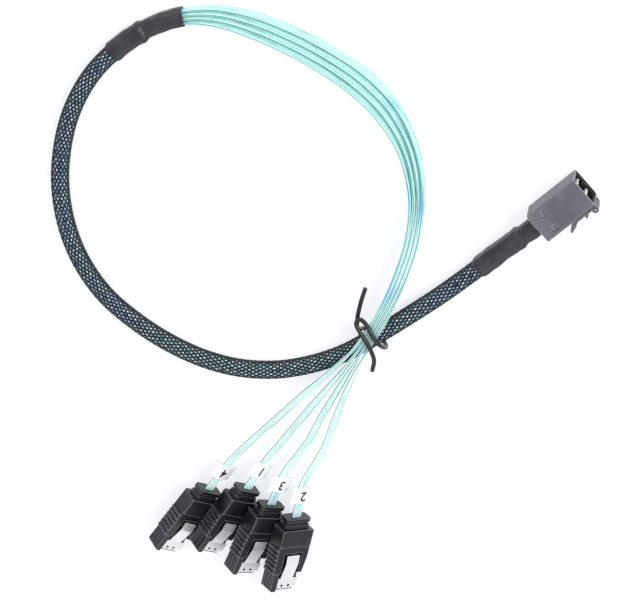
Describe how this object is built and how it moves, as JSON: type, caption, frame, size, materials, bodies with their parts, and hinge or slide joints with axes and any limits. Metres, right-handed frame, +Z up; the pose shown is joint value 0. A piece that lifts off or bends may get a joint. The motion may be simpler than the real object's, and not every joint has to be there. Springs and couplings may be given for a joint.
{
  "type": "breakout data cable",
  "caption": "Breakout data cable: wide latched host plug, braided trunk, flat tinted cables fanning out to numbered plugs with steel spring latches.",
  "frame": {"origin": "centre of the bounding box, on the plane that the cable lies on", "axes": "+Z up, +X the way the host plug is pushed in, -Y the side of its lever"},
  "size_m": [0.1989, 0.1858, 0.0138],
  "materials": {
    "host_housing": "fine matt moulded",
    "carrier_plastic": "matt",
    "card_laminate": "satin laminate",
    "lever_plastic": "fine matt moulded",
    "pin_steel": "drawn",
    "shrink_tube": "satin shrunk sleeve",
    "braid": "open braid of black monofilament",
    "tie_plastic": "glossy",
    "cable_jacket": "clear tinted jacket",
    "hood_plastic": "satin moulded",
    "nose_plastic": "satin moulded",
    "latch_steel": "bright rolled spring steel",
    "collar_plastic": "satin moulded",
    "label_film": "printed film"
  },
  "bodies": {
    "cable": {"host_plug_shell": "host_housing", "host_rear_cap": "host_housing", "host_card_carrier": "carrier_plastic", "contact_card_inner": "card_laminate", "contact_card_outer": "card_laminate", "host_lever_pin": "pin_steel", "host_boot": "shrink_tube", "braided_sleeve": "braid", "breakout_boot": "shrink_tube", "flat_cable_1": "cable_jacket", "flat_cable_2": "cable_jacket", "flat_cable_3": "cable_jacket", "flat_cable_4": "cable_jacket", "twist_tie": "tie_plastic", "drive_hood_1": "hood_plastic", "drive_nose_1": "nose_plastic", "drive_collar_1": "collar_plastic", "label_1": "label_film", "drive_hood_2": "hood_plastic", "drive_nose_2": "nose_plastic", "drive_collar_2": "collar_plastic", "label_2": "label_film", "drive_hood_3": "hood_plastic", "drive_nose_3": "nose_plastic", "drive_collar_3": "collar_plastic", "label_3": "label_film", "drive_hood_4": "hood_plastic", "drive_nose_4": "nose_plastic", "drive_collar_4": "collar_plastic", "label_4": "label_film"},
    "lever": {"host_lever": "lever_plastic"},
    "latch_1": {"drive_latch_1": "latch_steel"},
    "latch_2": {"drive_latch_2": "latch_steel"},
    "latch_3": {"drive_latch_3": "latch_steel"},
    "latch_4": {"drive_latch_4": "latch_steel"}
  },
  "joints": [
    {"name": "host_lever_hinge", "type": "hinge", "parent": "cable", "child": "lever", "pos_m": [0.0981, -0.052, 0.0065], "axis": [0, 0, -1], "range_deg": [0, 5], "stiffness_Nm_per_rad": 0.3},
    {"name": "drive_latch_hinge_1", "type": "hinge", "parent": "cable", "child": "latch_1", "pos_m": [-0.08565, -0.06357, 0.00801], "axis": [-0.2048, 0.7144, 0.6691], "range_deg": [0, 5], "stiffness_Nm_per_rad": 0.3},
    {"name": "drive_latch_hinge_2", "type": "hinge", "parent": "cable", "child": "latch_2", "pos_m": [-0.07494, -0.09017, 0.00801], "axis": [-0.4315, 0.605, 0.6691], "range_deg": [0, 5], "stiffness_Nm_per_rad": 0.3},
    {"name": "drive_latch_hinge_3", "type": "hinge", "parent": "cable", "child": "latch_3", "pos_m": [-0.08133, -0.07725, 0.00801], "axis": [-0.3199, 0.6708, 0.6691], "range_deg": [0, 5], "stiffness_Nm_per_rad": 0.3},
    {"name": "drive_latch_hinge_4", "type": "hinge", "parent": "cable", "child": "latch_4", "pos_m": [-0.09687, -0.05391, 0.00801], "axis": [-0.1634, 0.725, 0.6691], "range_deg": [0, 5], "stiffness_Nm_per_rad": 0.3}
  ]
}
